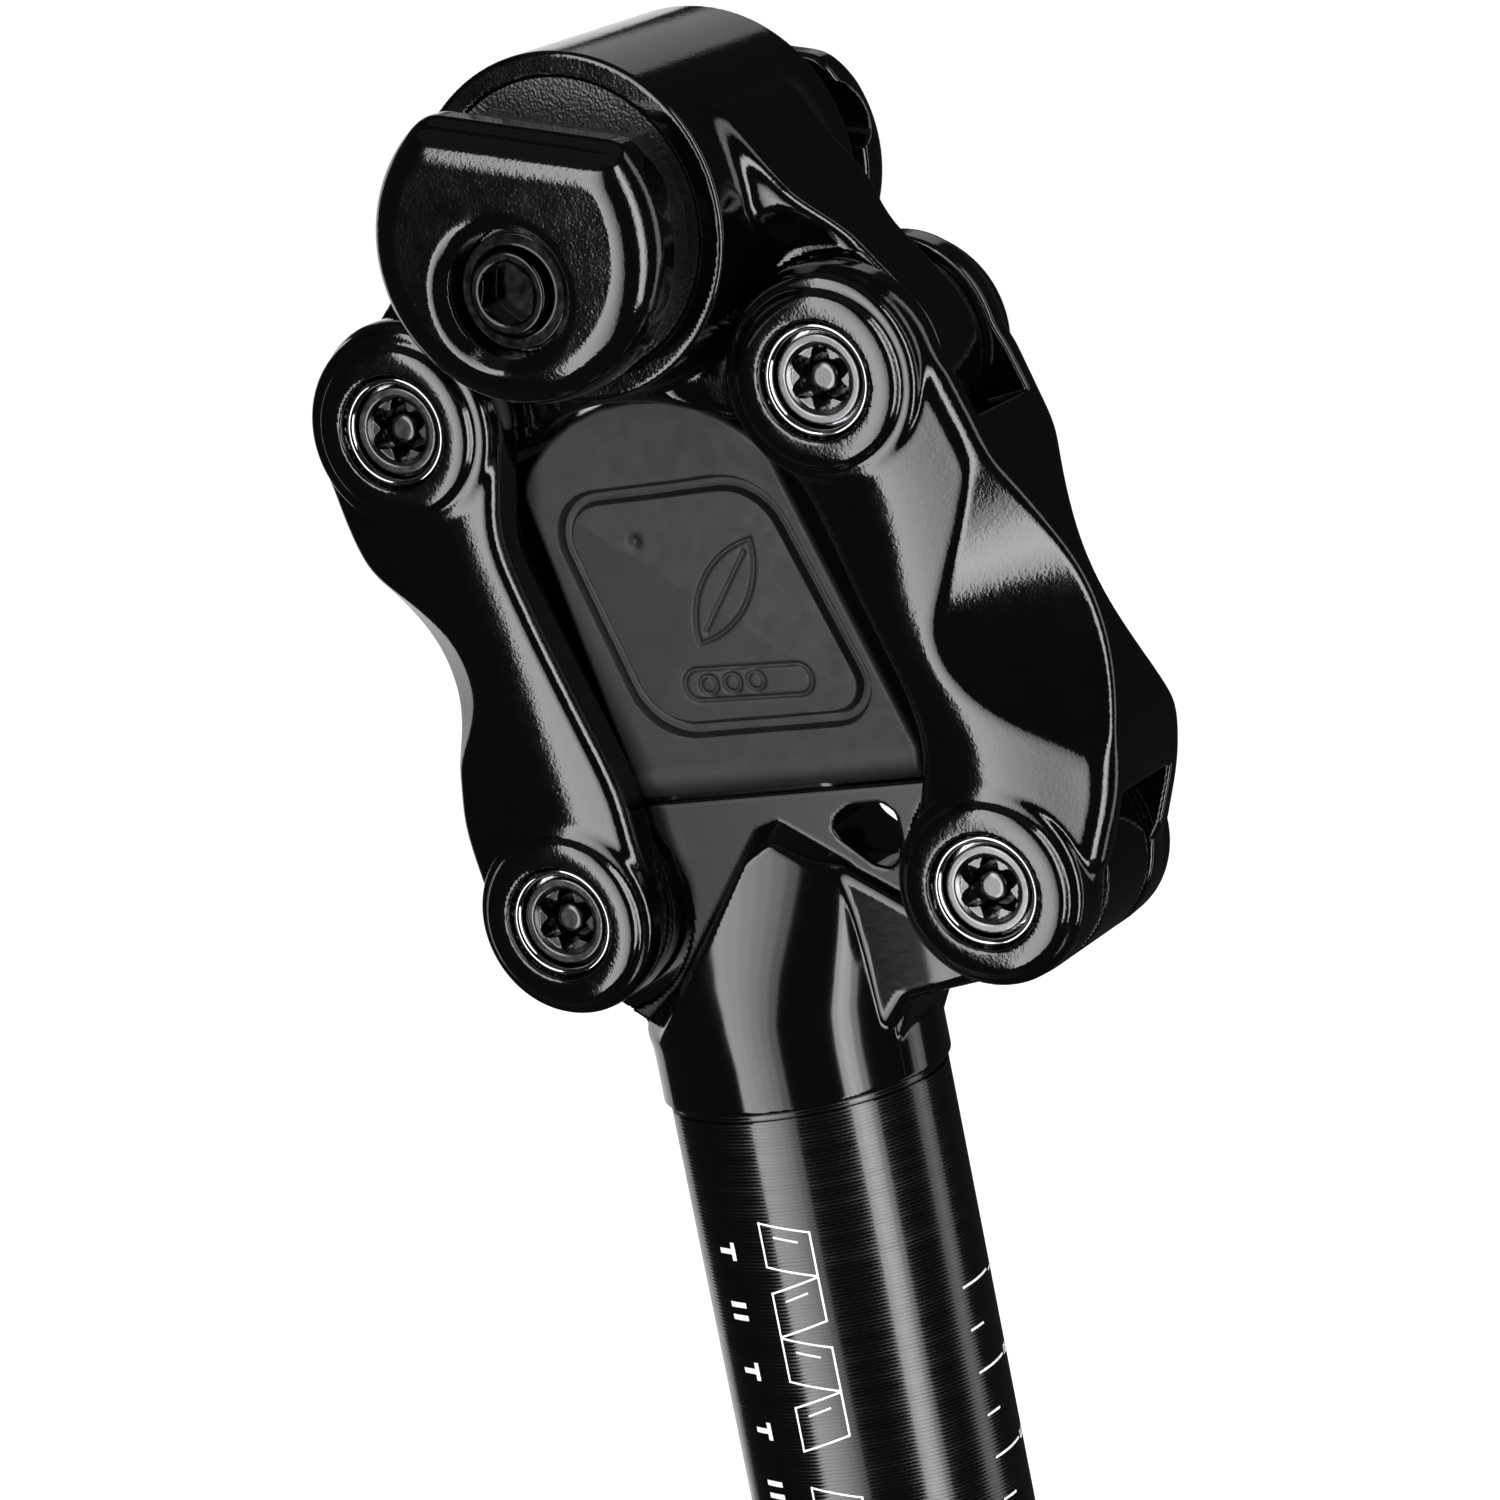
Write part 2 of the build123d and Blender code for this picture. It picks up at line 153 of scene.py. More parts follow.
# ------------------------------------------------------------------ surface nets
def skin(name, field, lo, hi, h, material, cast=4):
    """Meshes field = 0 inside the box lo..hi at cell size h, in millimetres, and pulls every vertex onto the surface."""
    h = h * 1.0
    ax = [np.arange(lo[i] - 1.5 * h, hi[i] + 2.5 * h, h) for i in range(3)]
    n = [len(a) for a in ax]
    F = np.empty(n, np.float32)
    step = max(1, int(2.0e6 // (n[1] * n[2])))
    for i in range(0, n[0], step):
        X, Y, Z = np.meshgrid(ax[0][i:i + step], ax[1], ax[2], indexing="ij")
        F[i:i + step] = field(X, Y, Z)
    S = F < 0
    c = [slice(None, -1), slice(1, None)]
    corners = [(a, b, d) for a in (0, 1) for b in (0, 1) for d in (0, 1)]
    cnt = np.zeros([m - 1 for m in n], np.int8)
    for a, b, d in corners:
        cnt += S[c[a], c[b], c[d]]
    act = (cnt > 0) & (cnt < 8)
    idx = np.full(act.shape, -1, np.int64)
    ijk = np.argwhere(act)
    idx[act] = np.arange(len(ijk))
    acc = np.zeros((len(ijk), 3))
    num = np.zeros(len(ijk))
    for u in range(3):
        for a in (0, 1):
            for b in (0, 1):
                o0, o1 = [0, 0, 0], [0, 0, 0]
                v, w = [k for k in range(3) if k != u]
                o0[v] = o1[v] = a
                o0[w] = o1[w] = b
                o1[u] = 1
                f0 = F[ijk[:, 0] + o0[0], ijk[:, 1] + o0[1], ijk[:, 2] + o0[2]].astype(float)
                f1 = F[ijk[:, 0] + o1[0], ijk[:, 1] + o1[1], ijk[:, 2] + o1[2]].astype(float)
                cross = (f0 < 0) != (f1 < 0)
                t = np.where(cross, f0 / np.where(cross, f0 - f1, 1), 0)
                p = np.tile(np.array(o0, float), (len(ijk), 1))
                p[:, u] = t
                acc[cross] += p[cross]
                num[cross] += 1
    V = (ijk + acc / num[:, None]) * h + np.array([a[0] for a in ax])
    quads = []
    for u in range(3):
        v, w = (u + 1) % 3, (u + 2) % 3
        sl0 = [slice(None)] * 3
        sl1 = [slice(None)] * 3
        sl0[u], sl1[u] = slice(None, -1), slice(1, None)
        s0, s1 = S[tuple(sl0)], S[tuple(sl1)]
        e = np.argwhere(s0 != s1)
        e = e[(e[:, v] > 0) & (e[:, w] > 0) & (e[:, v] < n[v] - 1) & (e[:, w] < n[w] - 1)]
        flip = s0[e[:, 0], e[:, 1], e[:, 2]]
        q = []
        for dv, dw in ((-1, -1), (0, -1), (0, 0), (-1, 0)):
            k = e.copy()
            k[:, v] += dv
            k[:, w] += dw
            q.append(idx[k[:, 0], k[:, 1], k[:, 2]])
        q = np.stack(q, 1)
        q[~flip] = q[~flip][:, ::-1]
        quads.append(q)
    Q = np.concatenate(quads)
    eps = 0.02

    def grad(P):
        g = np.empty_like(P)
        for k in range(3):
            d = np.zeros(3)
            d[k] = eps
            A, B = P + d, P - d
            g[:, k] = (field(A[:, 0], A[:, 1], A[:, 2]) - field(B[:, 0], B[:, 1], B[:, 2])) / (2 * eps)
        return g

    for _ in range(cast):
        f = field(V[:, 0], V[:, 1], V[:, 2])
        g = grad(V)
        gg = np.maximum((g * g).sum(1), 0.09)
        mv = -(f / gg)[:, None] * g
        ln = np.linalg.norm(mv, axis=1, keepdims=True)
        V += mv * np.minimum(1.0, 0.5 * h / np.maximum(ln, 1e-9))
    # even out the net along the surface, then return to it
    for _ in range(2):
        s = np.zeros_like(V)
        m = np.zeros(len(V))
        for a in range(4):
            b = (a + 1) % 4
            np.add.at(s, Q[:, a], V[Q[:, b]])
            np.add.at(s, Q[:, b], V[Q[:, a]])
            np.add.at(m, Q[:, a], 1)
            np.add.at(m, Q[:, b], 1)
        g = grad(V)
        g /= np.maximum(np.linalg.norm(g, axis=1, keepdims=True), 1e-6)
        d = s / np.maximum(m, 1)[:, None] - V
        d -= (d * g).sum(1, keepdims=True) * g
        V += 0.35 * d
        f = field(V[:, 0], V[:, 1], V[:, 2])
        g = grad(V)
        gg = np.maximum((g * g).sum(1), 0.09)
        mv = -(f / gg)[:, None] * g
        ln = np.linalg.norm(mv, axis=1, keepdims=True)
        V += mv * np.minimum(1.0, 0.5 * h / np.maximum(ln, 1e-9))
    N = grad(V)
    N /= np.maximum(np.linalg.norm(N, axis=1, keepdims=True), 1e-6)
    me = bpy.data.meshes.new(name)
    me.vertices.add(len(V))
    me.vertices.foreach_set("co", (V * MM).astype(np.float32).ravel())
    me.loops.add(len(Q) * 4)
    me.loops.foreach_set("vertex_index", Q.astype(np.int32).ravel())
    me.polygons.add(len(Q))
    me.polygons.foreach_set("loop_start", np.arange(0, len(Q) * 4, 4, dtype=np.int32))
    me.polygons.foreach_set("loop_total", np.full(len(Q), 4, np.int32))
    me.update(calc_edges=True)
    me.validate()
    me.polygons.foreach_set("use_smooth", np.ones(len(me.polygons), bool))
    # the field's own slope shades the smooth areas; where it disagrees with the mesh the mesh wins
    me.update()
    own = np.empty(len(V) * 3, np.float32)
    me.vertices.foreach_get("normal", own)
    own = own.reshape(-1, 3)
    agree = (own * N).sum(1)
    N = np.where(agree[:, None] > 0.8, N, own)
    me.normals_split_custom_set_from_vertices(N.astype(np.float32))
    ob = bpy.data.objects.new(name, me)
    bpy.context.scene.collection.objects.link(ob)
    me.materials.append(material)
    return ob


def outline(pts, blur=0.8, cell=0.2, pad=12.0, extra=None):
    """Smooth distance to a flat outline, held on a fine grid and read with cubic B-splines, so its slope has no breaks."""
    pts = np.asarray(pts, float)
    lo, hi = pts.min(0) - pad, pts.max(0) + pad
    gx, gz = np.arange(lo[0], hi[0], cell), np.arange(lo[1], hi[1], cell)
    X, Z = np.meshgrid(gx, gz, indexing="ij")
    D = poly2(X, Z, pts)
    if extra is not None:
        D = extra(D, X, Z)
    if blur > 0:
        r = int(3 * blur / cell) + 1
        k = np.exp(-0.5 * (np.arange(-r, r + 1) * cell / blur) ** 2)
        k /= k.sum()
        P = np.pad(D, ((r, r), (0, 0)), mode="edge")
        D = sum(w * P[i:i + D.shape[0]] for i, w in enumerate(k))
        P = np.pad(D, ((0, 0), (r, r)), mode="edge")
        D = sum(w * P[:, i:i + D.shape[1]] for i, w in enumerate(k))

    def f(x, z, full=False):
        if np.ndim(x) == 3 and not full:
            x, z = x[:, :1, :], z[:, :1, :]
        u = np.clip((x - lo[0]) / cell, 1.001, len(gx) - 3.001)
        v = np.clip((z - lo[1]) / cell, 1.001, len(gz) - 3.001)
        i, j = np.floor(u).astype(int), np.floor(v).astype(int)
        a, b = u - i, v - j
        wa = ((1 - a) ** 3 / 6, (3 * a ** 3 - 6 * a * a + 4) / 6, (-3 * a ** 3 + 3 * a * a + 3 * a + 1) / 6, a ** 3 / 6)
        wb = ((1 - b) ** 3 / 6, (3 * b ** 3 - 6 * b * b + 4) / 6, (-3 * b ** 3 + 3 * b * b + 3 * b + 1) / 6, b ** 3 / 6)
        out = 0.0
        for m in range(4):
            for n in range(4):
                out = out + wa[m] * wb[n] * D[i + m - 1, j + n - 1]
        return out
    return f


def disc2(x, z, p, r):
    return np.hypot(x - p[0], z - p[1]) - r


def rint(a, b, r):
    """Intersection with a rounded edge of radius r."""
    return np.minimum(np.maximum(a + r, b + r), 0) + np.hypot(np.maximum(a + r, 0), np.maximum(b + r, 0)) - r


def step01(t):
    t = np.clip(t, 0, 1)
    return t * t * (3 - 2 * t)


# ------------------------------------------------------------------------ links
ARM_OUT = 12.1


def link_field(shape, top, low, low_r, cuts, crown, pocket, k_ridge, edge_r):
    zl, zh = low[1], top[1]

    def ends(D, X, Z):
        band = np.maximum(D, np.maximum(zl - Z, Z - zh))
        return np.minimum(band, np.minimum(disc2(X, Z, top, 12.1), disc2(X, Z, low, low_r)))

    body2 = outline(shape, 1.0, extra=ends)
    cut2 = cuts

    def f(x, y, z):
        ay = np.abs(y)
        d = rint(body2(x, z), ay - crown(x, z), edge_r)
        d = smax(d, pocket(x, ay, z), k_ridge)
        for p, rs in ((top, 11.35), (low, 10.9)):
            ring = cyl_y(x, ay, z, p, rs, 6.0, 12.35, 1.0)
            rr = disc2(x, z, p, 0)
            boss = cyl_y(x, ay, z, p, 9.75, 6.0, 13.7, 1.7)
            boss = smax(boss, (ay - 13.66 + 0.055 * np.maximum(rr - 6.9, 0) ** 2) * 0.95, 0.4)
            d = smin(d, ring, 1.0)
            d = smin(d, boss, 0.9)
        d = smax(d, -rint(cut2(x, z), ay - ARM_IN, 0.3), 0.9)
        for p in (top, low):
            d = smax(d, -(disc2(x, z, p, AXLE_R + 0.05) + 0 * ay), 0.35)
            d = smax(d, -np.maximum(disc2(x, z, p, COUNTERBORE_R), 12.85 - ay), 0.5)
        return d
    return f


FRONT = spline([(36.8, 80.5), (38.6, 76.0), (41.1, 68.0), (43.6, 60.0), (46.3, 52.0), (48.4, 44.0), (49.2, 37.0),
                (48.3, 31.0), (46.0, 25.0), (43.4, 19.5), (33.1, 12.0), (24.0, 17.0), (23.6, 27.0), (25.6, 33.0),
                (27.0, 38.5), (26.2, 45.0), (22.9, 55.0), (19.0, 66.5), (15.4, 73.0), (13.6, 82.5), (20.0, 90.5),
                (30.0, 90.5)], 5)


def front_cut(D, X, Z):
    c = np.minimum(D, disc2(X, Z, FU, 11.8))
    c = np.minimum(c, poly2(X, Z, [(-5, 28.8), (36, 28.8), (46.5, 30.6), (70, 29.0), (70, 5), (-5, 5)]))
    c = np.minimum(c, disc2(X, Z, FL, 12.6))
    return np.minimum(c, poly2(X, Z, [(38.5, 28.0), (37.9, 35.2), (36.0, 37.5), (33.6, 41.5), (32.0, 46.5),
                                      (31.3, 55.0), (31.3, 75.0), (0, 75.0), (0, 28.0)]))


front_cuts = outline([(-5, 73.6), (33.0, 72.0), (70, 77.0), (70, 105), (-5, 105)], 0.5, pad=60, cell=0.25, extra=front_cut)
front_edge = curve_at([10, 28, 32, 36, 40, 44, 48, 52, 56, 60, 64, 68, 72, 76, 80, 95],
                      [47.0, 47.1, 48.5, 49.3, 49.1, 48.5, 47.4, 46.2, 44.8, 43.6, 42.4, 41.25, 40.1, 38.7, 37.5, 36.0])
front_half = curve_at([10, 24, 28, 32, 36, 40, 44, 48, 52, 56, 60, 64, 68, 72, 76, 80, 95],
                      [13.5, 12.6, 10.75, 10.25, 9.0, 6.5, 4.0, 2.3, 1.5, 2.0, 3.5, 5.6, 8.2, 10.0, 11.6, 13.0, 15.0])
front_slope = curve_at([10, 36, 42, 47, 52, 55, 58, 61, 64, 67, 70.5, 80, 95],
                       [0.56, 0.56, 0.57, 0.64, 0.76, 0.90, 1.01, 1.13, 1.26, 1.34, 1.42, 1.55, 1.6])
front_spine = curve_at([10, 30, 38.6, 44.3, 50, 55.1, 60, 66.4, 72.1, 95], [33.0, 34.6, 35.2, 33.0, 31.0, 30.0, 30.2, 29.8, 28.0, 26.0])


def front_crown(x, z):
    return 12.25 - 2.8 * (1 - np.exp(-(x - front_spine(z)) ** 2 / 120.0))


def front_pocket(x, ay, z):
    m = front_slope(z)
    return (ay - front_half(z) - m * (front_edge(z) - x)) / np.sqrt(1.35 + m * m)


front_field = link_field(FRONT, FU, FL, 10.8, front_cuts, front_crown, front_pocket, 0.9, 2.6)

REAR = spline([(-40.3, 79.0), (-40.0, 73.0), (-38.2, 65.5), (-35.0, 60.0), (-32.2, 54.0), (-30.8, 47.5), (-31.2, 40.0),
               (-32.0, 33.7), (-31.0, 26.0), (-29.5, 19.0), (-19.85, 11.9), (-10.0, 18.0), (-9.2, 25.0), (-9.8, 30.0),
               (-10.6, 37.0), (-13.6, 47.0), (-16.6, 57.0), (-18.6, 66.0), (-17.3, 74.0), (-16.6, 82.5),
               (-23.0, 90.5), (-33.5, 90.5)], 5)


def rear_cut(D, X, Z):
    c = np.minimum(D, disc2(X, Z, RU, 11.8))
    c = np.minimum(c, poly2(X, Z, [(-70, 31.0), (0, 36.0), (0, 5), (-70, 5)]))
    c = np.minimum(c, disc2(X, Z, RL, 11.8))
    return np.minimum(c, poly2(X, Z, [(-19.0, 30.0), (-21.6, 44.0), (-25.0, 58.0), (-27.0, 70.0), (0, 70.0), (0, 30.0)]))


rear_cuts = outline([(-70, 71.0), (0, 67.0), (0, 105), (-70, 105)], 0.5, pad=60, cell=0.25, extra=rear_cut)
rear_edge = curve_at([10, 26, 33.7, 40, 47.5, 54, 60, 65.5, 73, 79, 95],
                     [-30.5, -31.0, -32.0, -31.2, -30.8, -32.2, -35.0, -38.2, -40.0, -40.3, -40.0])
rear_half = curve_at([10, 28, 34, 38, 42, 46, 50, 54, 58, 62, 66, 70, 80, 95],
                     [15.0, 14.0, 12.6, 11.0, 8.9, 7.4, 6.6, 6.6, 7.3, 8.9, 11.2, 13.4, 15.0, 16.0])
rear_slope = curve_at([10, 30, 37.4, 44, 48.5, 53.2, 58, 61.8, 65.7, 80, 95],
                      [1.6, 1.5, 1.3, 0.95, 0.88, 0.88, 0.85, 0.95, 1.2, 1.5, 1.5])
rear_spine = curve_at([10, 28.9, 33, 40, 49, 58, 66, 95], [-16.8, -17.0, -17.4, -18.4, -19.8, -21.4, -23.2, -25.5])


def rear_crown(x, z):
    return 12.25 - 2.3 * (1 - np.exp(-(x - rear_spine(z)) ** 2 / 130.0))


def rear_pocket(x, ay, z):
    m = rear_slope(z)
    return (ay - rear_half(z) - m * (x - rear_edge(z))) / np.sqrt(1.35 + m * m)


rear_field = link_field(REAR, RU, RL, 10.8, rear_cuts, rear_crown, rear_pocket, 0.9, 1.7)


# ------------------------------------------------------------------- upper head
def head_ends(D, X, Z):
    d = np.minimum(D, np.minimum(disc2(X, Z, RU, 11.0), disc2(X, Z, FU, 11.0)))
    return np.maximum(d, -disc2(X, Z, (-2.5, 58.8), 20.5))


head_web = outline([(-28.25, 75.0), (24.75, 75.0), (33.3, 86.4), (17.0, 108.0), (-12.0, 111.5), (-36.3, 87.1)], 0.7,
                   extra=head_ends)


def head_field(x, y, z):
    ay = np.abs(y)
    near = np.minimum(disc2(x, z, RU, 0), disc2(x, z, FU, 0))
    half = 5.8 + 3.6 * step01((near - 13.0) / 7.0)
    barrel = cyl_y(x, y, z, CL, 19.0, -16.2, 16.2, 0.55)
    web = rint(head_web(x, z), ay - half, 1.6)
    d = smin(barrel, web, 4.5)
    for p in (RU, FU):
        d = smax(d, -np.maximum(disc2(x, z, p, 12.55), 5.3 - ay), 0.4)
        d = smax(d, -(disc2(x, z, p, 7.4) + 0 * ay), 0.3)
    d = smax(d, -(disc2(x, z, CL, 12.0) + 0 * ay), 0.3)
    d = smax(d, -np.maximum(disc2(x, z, CL, 16.25), 13.2 - ay), 0.5)
    return d


# -------------------------------------------------------------------- lower yoke
def yoke_ends(D, X, Z):
    d = np.minimum(D, np.minimum(disc2(X, Z, RL, 11.0), disc2(X, Z, FL, 11.0)))
    slot = poly2(X, Z, [(13.0, 30.4), (14.9, 31.5), (18.7, 31.5), (20.1, 30.3), (20.2, 27.3), (19.3, 25.1), (18.3, 24.4),
                        (16.7, 24.8), (13.0, 28.1), (12.4, 29.1)])
    return np.maximum(d, -slot)


yoke_web = outline([(-19.85, 33.70), (33.10, 33.70), (33.10, 11.70), (18.0, 9.5), (15.0, 4.0), (-15.0, 4.0),
                    (-15.6, 8.6), (-19.85, 11.70)], 0.35, extra=yoke_ends)
neck_clear = outline([(-60, 60), (60, 60), (60, 8.7), (34.0, 11.0), (27.0, 16.4), (18.7, 22.0), (5.8, 30.7), (2.9, 29.8),
                      (-10.7, 12.75), (-16.5, 8.2), (-60, 8.2)], 0.3)
neck_z = [0.0, 6.5, 10.0, 15.0, 20.0, 25.0, 33.6, 40.0]
neck_c = curve_at(neck_z, [0.0, 0.0, -0.5, -1.9, -3.1, -4.0, -4.8, -5.0])
neck_a = curve_at(neck_z, [16.45, 16.45, 16.9, 19.0, 21.0, 22.0, 22.0, 22.0])
neck_b = curve_at(neck_z, [16.45, 16.45, 16.1, 14.8, 13.1, 11.3, 8.6, 7.5])
neck_flank = curve_at(neck_z, [17.0, 16.9, 16.6, 16.2, 15.8, 15.3, 14.4, 14.0])
yoke_slot = outline([(13.0, 30.4), (14.9, 31.5), (18.7, 31.5), (20.1, 30.3), (20.2, 27.3), (19.3, 25.1), (18.3, 24.4),
                     (16.7, 24.8), (13.0, 28.1), (12.4, 29.1)], 0.3)
flare = outline([(4.0, 31.0), (18.7, 22.0), (27.0, 16.4), (31.0, 12.0), (18.0, 9.5), (14.0, 5.0), (0, 5.0), (0, 30.0)], 0.5)


def yoke_field(x, y, z):
    ay = np.abs(y)
    a, b = neck_a(z), neck_b(z)
    q = np.hypot((x - neck_c(z)) / a, y / b)
    neck = (q - 1.0) * np.minimum(a, b)
    # a flank that turns forward, and a low shoulder running on to the front lug
    neck = smax(neck, 0.866 * x + 0.5 * ay - neck_flank(z), 2.2)
    neck = smin(neck, rint(flare(x, z), ay - 7.3 + 0.010 * np.maximum(x - 21.0, 0) ** 2, 1.6), 0.5)
    neck = rint(neck, 0.1 - z, 0.45)
    out = np.maximum(ay - 5.8, 0.0)
    neck = smax(neck, -np.maximum(neck_clear(x, z + 0.6 * out, True), 5.0 - ay) * 0.85, 0.6)
    web = rint(yoke_web(x, z), ay - 5.8, 0.5)
    d = smin(neck, web, 0.35)
    for p in (RL, FL):
        d = smax(d, -np.maximum(disc2(x, z, p, 12.6), 5.3 - ay), 0.3)
        d = smax(d, -(disc2(x, z, p, 7.4) + 0 * ay), 0.3)
    d = smax(d, -(yoke_slot(x, z) + 0 * ay), 0.5)
    spigot = cyl_z(x, y, z, (0, 0), 13.2, -37.0, 2.0, 0.6)
    d = np.minimum(d, spigot)
    return np.maximum(d, -cyl_z(x, y, z, (0, 0), 9.5, -60.0, -4.0, 0.6))


# --------------------------------------------------------------------- elastomer
RUB_HALF = 5.55


def lump_ends(D, X, Z):
    return np.maximum(D, -np.minimum(disc2(X, Z, RU, 11.4), disc2(X, Z, FU, 11.4)))


lump_out = outline(np.vstack([
    [(-18.3, 69.6), (-16.5, 61.0), (-13.0, 43.5), (-11.2, 33.8), (24.2, 33.8), (24.6, 37.0), (19.0, 54.0), (13.6, 70.4)],
    [(12.6, 72.1), (11.0, 73.8), (8.3, 75.8), (5.2, 77.4), (1.5, 78.5), (-2.5, 78.8), (-6.6, 78.5), (-10.4, 77.3),
     (-13.8, 75.3), (-16.6, 72.8), (-17.8, 71.2)]]), 0.35, extra=lump_ends)


def rounded(pts, radii, n=8):
    """Polygon with its corners rounded to the given radii."""
    out = []
    m = len(pts)
    p = [np.array(q, float) for q in pts]
    for i in range(m):
        a, b, c = p[i - 1], p[i], p[(i + 1) % m]
        u, v = (a - b) / np.linalg.norm(a - b), (c - b) / np.linalg.norm(c - b)
        half = math.acos(np.clip(u @ v, -1, 1)) / 2
        r = radii[i]
        t = r / math.tan(half)
        w = (u + v) / np.linalg.norm(u + v)
        o = b + w * r / math.sin(half)
        p0, p1 = b + u * t - o, b + v * t - o
        a0 = math.atan2(p0[1], p0[0])
        a1 = math.atan2(p1[1], p1[0])
        da = (a1 - a0 + math.pi) % (2 * math.pi) - math.pi
        for k in range(n + 1):
            t_ = a0 + da * k / n
            out.append(o + r * np.array([math.cos(t_), math.sin(t_)]))
    return np.array(out)


WIN = rounded([(-15.6, 68.4), (11.3, 68.7), (20.9, 41.3), (-7.6, 41.5)], [4.5, 7.7, 3.8, 7.7])
win = outline(WIN, 0.16, cell=0.12, pad=16)


def seg2(x, z, a, b):
    ex, ez = b[0] - a[0], b[1] - a[1]
    t = np.clip(((x - a[0]) * ex + (z - a[1]) * ez) / (ex * ex + ez * ez), 0, 1)
    return np.hypot(x - a[0] - t * ex, z - a[1] - t * ez)


def rubber_field(x, y, z):
    if np.ndim(x) == 3:
        x2, z2 = x[:, :1, :], z[:, :1, :]
    else:
        x2, z2 = x, z
    ay = np.abs(y)
    w = win(x2, z2)
    # a broad hipped panel inside the groove
    c = (1.9, 55.6)
    ux, uz = x2 - c[0], z2 - c[1]
    hip = np.maximum(np.abs(ux * 0.96 + uz * 0.28) / 13.0, np.abs(uz) / 13.0)
    half = RUB_HALF + 0.24 * step01((37.6 - z2) / 1.2) - 0.18 * step01(-w / 1.0) + 0.34 * np.clip(1.0 - hip, 0, 1) * step01(-w / 2.0)
    half = half - 1.15 * step01((0.95 - np.abs(w)) / 0.55)
    half = half - 0.75 * np.clip((36.2 - z2) / 2.0, 0, 1) ** 2
    # small dimple, capsule with three rings, and a plain lens mark
    half = half - 0.45 * np.exp(-((x2 + 5.4) ** 2 + (z2 - 63.2) ** 2) / 0.45)
    cap = seg2(x2, z2, (-0.9, 46.5), (11.4, 46.1)) - 1.75
    half = half - 0.26 * np.exp(-(cap / 0.26) ** 2)
    for q in (0.3, 3.3, 6.2):
        e = np.hypot(x2 - q, z2 - 46.4) - 1.0
        half = half - 0.24 * np.exp(-(e / 0.26) ** 2)
    ca, sa = math.cos(math.radians(52)), math.sin(math.radians(52))
    m1, m2 = (x2 - 4.6) * ca + (z2 - 56.6) * sa, -(x2 - 4.6) * sa + (z2 - 56.6) * ca
    lens = np.maximum(np.hypot(m1, m2 - 7.2), np.hypot(m1, m2 + 7.2)) - 10.0
    half = half - 0.26 * np.exp(-(lens / 0.26) ** 2)
    rib = np.maximum(np.abs(m2), np.abs(m1) - 5.2)
    half = half - 0.20 * np.exp(-(rib / 0.28) ** 2)
    return rint(lump_out(x, z), ay - half, 0.7)


# ----------------------------------------------------------------- saddle clamps
cT, sT = math.cos(TILT), math.sin(TILT)


def uw(x, z):
    dx, dz = x - CL[0], z - CL[1]
    return dx * cT - dz * sT, dx * sT + dz * cT


def outer_clamp_field(x, y, z):
    ay = np.abs(y)
    u, w = uw(x, z)
    rim = smax(np.hypot(u, w) - 17.1, w - 12.0 - np.where(y < 0, 0.6, 1.8) * step01((27.3 - ay) / 1.9), 1.6)
    d = rint(rim, ay - 29.6, 4.2)
    d = rint(d, 22.45 - ay, 0.8)
    b = np.hypot(u, w + 4.8)
    dish = np.minimum(np.maximum(b - 6.95, 24.45 - ay), np.maximum((b - 7.55 - (ay - 29.0) * 1.5) * 0.55, 27.6 - ay))
    d = smax(d, -dish, 0.45)
    d = smax(d, -(b - np.where(y < 0, 4.05, 5.6)), 0.2)
    rail = np.hypot(ay - 22.0, w - 7.6) - 3.5
    return smax(d, -rail, 0.4)


def bolt_field(x, y, z):
    ay = -y
    u, w = uw(x, z)
    w = w + 4.8
    b = np.hypot(u, w)
    flange = rint(b - 6.3, np.abs(ay - 26.25) - 0.55, 0.15)
    cone = rint((b - 4.45 - (28.35 - ay) * 0.28) * 0.96, np.abs(ay - 27.0) - 1.35, 0.25)
    d = smin(flange, cone, 0.4)
    shank = rint(b - 3.95, np.abs(ay - 23.5) - 3.0, 0.2)
    d = np.minimum(d, shank)
    hx = np.maximum(np.abs(u), np.maximum(np.abs(u * 0.5 + w * 0.8660254), np.abs(u * 0.5 - w * 0.8660254))) - 3.0
    sock = np.maximum(hx, 25.3 - ay)
    sock = np.minimum(sock, np.maximum((b - 3.15 - (ay - 28.1) * 1.2) * 0.6, 27.6 - ay))
    return smax(d, -sock, 0.2)


